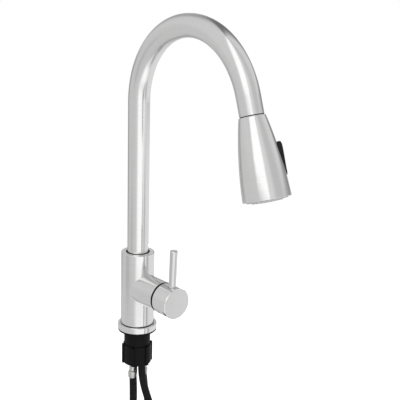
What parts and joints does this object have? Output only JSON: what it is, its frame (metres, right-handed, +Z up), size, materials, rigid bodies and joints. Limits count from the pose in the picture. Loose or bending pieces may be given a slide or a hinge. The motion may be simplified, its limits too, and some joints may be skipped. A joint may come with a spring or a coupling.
{
  "type": "pull-out kitchen faucet",
  "caption": "Single-lever kitchen faucet with a swivelling arched spout, a pull-out spray head and hanging supply hoses.",
  "frame": {"origin": "on the axis of column and shank, in the plane of the worktop under the base gasket", "axes": "+Z up along the column, -Y the way the spout and the handle point"},
  "size_m": [0.0863, 0.3372, 0.9731],
  "materials": {
    "steel": "brushed stainless steel with a fine circumferential grain",
    "handle_steel": "brushed stainless steel, a little brighter",
    "black_plastic": "black moulded plastic",
    "rocker": "black moulded plastic, fine texture",
    "spray_grey": "grey soft rubber",
    "plate_grey": "grey plastic",
    "gasket_rubber": "black rubber",
    "hose": "black braided hose",
    "ferrule_steel": "bright pressed stainless steel",
    "brass": "turned brass",
    "ceramic": "sintered ceramic",
    "cartridge_plastic": "off-white acetal",
    "nylon": "black acetal",
    "weight": "black coated weight"
  },
  "bodies": {
    "column": {"base_flange": "steel", "base_gasket": "gasket_rubber", "bonnet_nut": "brass", "cartridge_case": "cartridge_plastic", "cartridge_seal": "gasket_rubber", "cold_end_fitting": "ferrule_steel", "cold_ferrule": "ferrule_steel", "cold_hose": "hose", "cold_tail": "ferrule_steel", "column": "steel", "column_hose": "hose", "connector_plug": "nylon", "connector_socket": "nylon", "fixed_disc": "ceramic", "foot_washer": "nylon", "glide_ring": "nylon", "handle_ring": "black_plastic", "hose_weight": "weight", "hot_end_fitting": "ferrule_steel", "hot_ferrule": "ferrule_steel", "hot_hose": "hose", "hot_tail": "ferrule_steel", "mounting_nut": "black_plastic", "outlet_ferrule": "ferrule_steel", "outlet_hose": "hose", "outlet_tail": "ferrule_steel", "pull_hose": "hose", "shank": "black_plastic", "spout_screw": "ferrule_steel"},
    "spout": {"spout_tube": "steel", "spout_foot": "brass", "foot_seal": "gasket_rubber", "dock_bushing": "nylon", "spout_hose": "hose"},
    "hose_end": {"hose_stub": "hose", "hose_ferrule": "ferrule_steel", "hose_tail": "brass"},
    "spray_head": {"hose_nut": "brass", "head_washer": "gasket_rubber", "head_shell": "steel", "head_core": "black_plastic", "check_valve": "nylon", "rocker_pin": "ferrule_steel", "spray_plate": "plate_grey", "spray_nozzles": "spray_grey", "aerator": "plate_grey"},
    "rocker": {"rocker_button": "rocker"},
    "diverter": {"diverter_spool": "cartridge_plastic"},
    "carrier": {"cartridge_carrier": "cartridge_plastic", "stem_pin": "ferrule_steel"},
    "moving_disc": {"moving_disc": "ceramic"},
    "handle": {"cartridge_stem": "ferrule_steel", "handle_cap": "handle_steel", "lever_rod": "handle_steel", "handle_screw": "ferrule_steel"},
    "hot_swivel_nut": {"hot_nut": "ferrule_steel"},
    "cold_swivel_nut": {"cold_nut": "ferrule_steel"}
  },
  "joints": [
    {"name": "spout_swivel", "type": "hinge", "parent": "column", "child": "spout", "pos_m": [0, 0, 0.1], "axis": [0, 0, 1], "continuous": true},
    {"name": "head_pull_out", "type": "slide", "parent": "spout", "child": "hose_end", "axis": [0, -0.3173, -0.9483], "range_m": [0, 0.4], "deforming": ["hose_stub"]},
    {"name": "head_turn", "type": "hinge", "parent": "hose_end", "child": "spray_head", "pos_m": [0, -0.20393, 0.32371], "axis": [0, -0.3173, -0.9483], "continuous": true},
    {"name": "rocker_tilt", "type": "hinge", "parent": "spray_head", "child": "rocker", "pos_m": [0.01604, -0.22844, 0.27734], "axis": [-0.4695, -0.8373, 0.2802], "range_deg": [0, 4.5]},
    {"name": "diverter_slide", "type": "slide", "parent": "spray_head", "child": "diverter", "axis": [0, -0.3173, -0.9483], "range_m": [0, 0.0008]},
    {"name": "handle_turn", "type": "hinge", "parent": "column", "child": "carrier", "pos_m": [0, -0.037, 0.0629], "axis": [0, -1, 0], "range_deg": [-45, 45]},
    {"name": "handle_lift", "type": "hinge", "parent": "carrier", "child": "handle", "pos_m": [0, -0.037, 0.0629], "axis": [1, 0, 0], "range_deg": [0, 20]},
    {"name": "moving_disc_slide", "type": "slide", "parent": "carrier", "child": "moving_disc", "axis": [0, 0, 1], "range_m": [0, 0.0055]},
    {"name": "hot_nut_turn", "type": "hinge", "parent": "column", "child": "hot_swivel_nut", "pos_m": [-0.02973, -0.00085, -0.53698], "axis": [0.0454, 0.0091, -0.9989], "continuous": true},
    {"name": "cold_nut_turn", "type": "hinge", "parent": "column", "child": "cold_swivel_nut", "pos_m": [0.03369, 0.00281, -0.53699], "axis": [-0.0182, 0.0182, -0.9997], "continuous": true}
  ],
  "couplings": [
    {"joint": "diverter_slide", "follows": "rocker_tilt", "m_per_rad": 0.0068},
    {"joint": "moving_disc_slide", "follows": "handle_lift", "m_per_rad": 0.0142}
  ]
}
